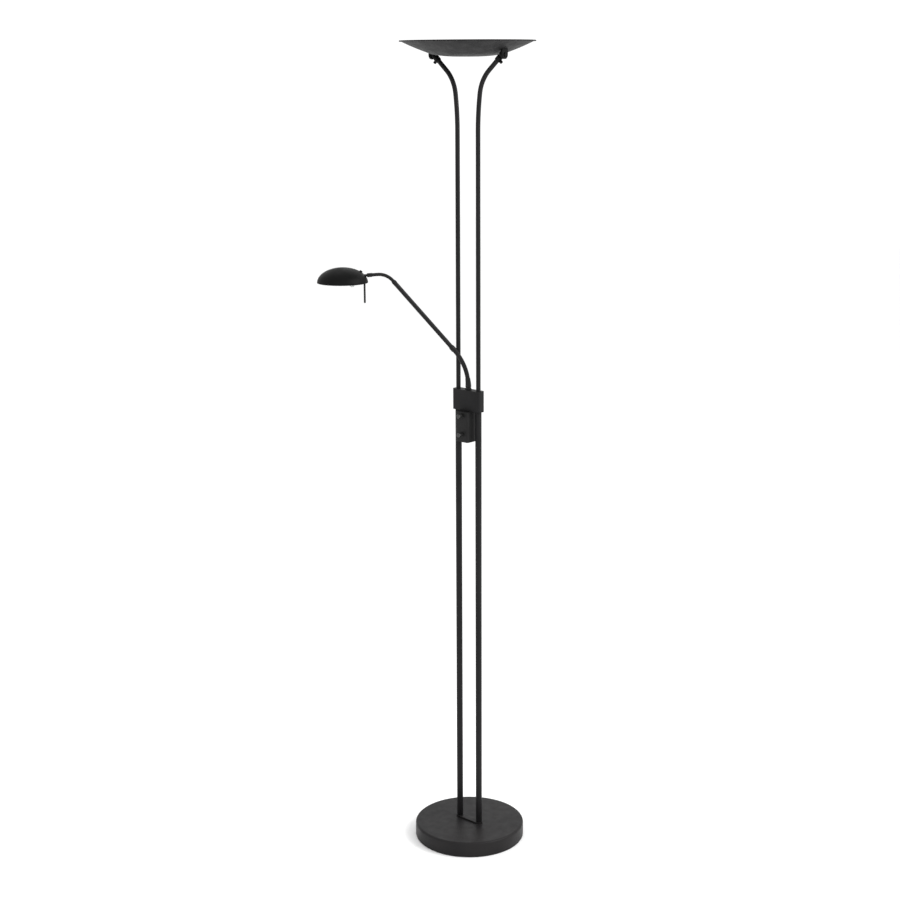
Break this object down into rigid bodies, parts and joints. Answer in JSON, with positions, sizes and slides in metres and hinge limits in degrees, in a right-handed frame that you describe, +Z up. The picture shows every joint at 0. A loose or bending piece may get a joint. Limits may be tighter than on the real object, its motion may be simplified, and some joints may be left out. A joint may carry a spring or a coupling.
{
  "type": "torchiere floor lamp",
  "caption": "Floor lamp with a round base, a pair of slim poles, a wide tilting dish uplighter and a flexible reading arm with a domed shade.",
  "frame": {"origin": "centre of the base's underside, on the floor", "axes": "+Z up, +X along the pair of poles, knobs face -Y, reading arm at 225 degrees from +X at rest"},
  "size_m": [0.3905, 0.3905, 1.8001],
  "materials": {
    "black_coat": "satin powder coat",
    "black_plastic": "matt",
    "steel": "zinc plated",
    "iron": "raw casting",
    "rubber": "matt",
    "board": "coated board",
    "ceramic": "glazed ceramic",
    "glass": "clear"
  },
  "bodies": {
    "stand": {"base_cover": "black_coat", "foot_plate": "black_coat", "lower_pole_left": "black_coat", "lower_pole_right": "black_coat", "pole_block": "black_coat", "upper_pole_left": "black_coat", "upper_pole_right": "black_coat", "knuckle_left": "black_coat", "knuckle_right": "black_coat", "socket_screw_left": "black_coat", "socket_screw_right": "black_coat", "control_housing": "black_plastic", "housing_cover": "black_plastic", "upper_dimmer": "black_plastic", "lower_dimmer": "black_plastic", "base_stud_left": "steel", "base_stud_right": "steel", "base_nut_left": "steel", "base_nut_right": "steel", "block_screw_left": "steel", "block_screw_right": "steel", "cover_screw_upper": "steel", "cover_screw_lower": "steel", "base_weight": "iron", "base_pad": "rubber", "cable_gland": "rubber", "supply_cable": "rubber", "dish_cable": "rubber", "circuit_board": "board"},
    "dish": {"dish_bowl": "black_coat", "dish_lug_left": "black_coat", "dish_lug_right": "black_coat", "pivot_pin_left": "steel", "pivot_pin_right": "steel", "lug_screw_left": "steel", "lug_screw_right": "steel", "lamp_bracket": "steel", "bracket_screw_left": "steel", "bracket_screw_right": "steel", "lamp_holder_left": "ceramic", "lamp_holder_right": "ceramic", "halogen_tube": "glass", "shield_glass": "glass"},
    "arm_foot": {"arm_socket": "black_coat", "lower_gooseneck": "black_coat"},
    "arm": {"lower_ferrule": "black_coat", "arm_tube": "black_coat", "upper_ferrule": "black_coat", "upper_gooseneck": "black_coat"},
    "neck": {"neck_ferrule": "black_coat"},
    "head": {"head_block": "black_coat", "reading_shade": "black_coat", "cap_nut": "black_coat", "bulb_socket": "ceramic", "capsule_bulb": "glass", "grip_rod": "black_coat"},
    "upper_knob": {"upper_knob": "black_plastic"},
    "lower_knob": {"lower_knob": "black_plastic"}
  },
  "joints": [
    {"name": "dish_tilt", "type": "hinge", "parent": "stand", "child": "dish", "pos_m": [0, 0, 1.7701], "axis": [1, 0, 0], "range_deg": [-35, 35]},
    {"name": "arm_swivel", "type": "hinge", "parent": "stand", "child": "arm_foot", "pos_m": [0, 0, 1.0556], "axis": [0, 0, 1], "range_deg": [-10, 110]},
    {"name": "lower_bend", "type": "hinge", "parent": "arm_foot", "child": "arm", "pos_m": [-0.0055, -0.0055, 1.105], "axis": [0.7071, -0.7071, 0], "range_deg": [-25, 30], "deforming": ["lower_gooseneck"]},
    {"name": "upper_bend", "type": "hinge", "parent": "arm", "child": "neck", "pos_m": [-0.12916, -0.12916, 1.3098], "axis": [0.7071, -0.7071, 0], "range_deg": [-40, 40], "deforming": ["upper_gooseneck"]},
    {"name": "head_turn", "type": "hinge", "parent": "neck", "child": "head", "pos_m": [-0.14633, -0.14633, 1.31026], "axis": [-0.7054, -0.7054, -0.0698], "range_deg": [-50, 50]},
    {"name": "upper_knob_turn", "type": "hinge", "parent": "stand", "child": "upper_knob", "pos_m": [0, -0.02, 1.0003], "axis": [0, 1, 0], "range_deg": [0, 270]},
    {"name": "lower_knob_turn", "type": "hinge", "parent": "stand", "child": "lower_knob", "pos_m": [0, -0.02, 0.9585], "axis": [0, 1, 0], "range_deg": [0, 270]}
  ]
}
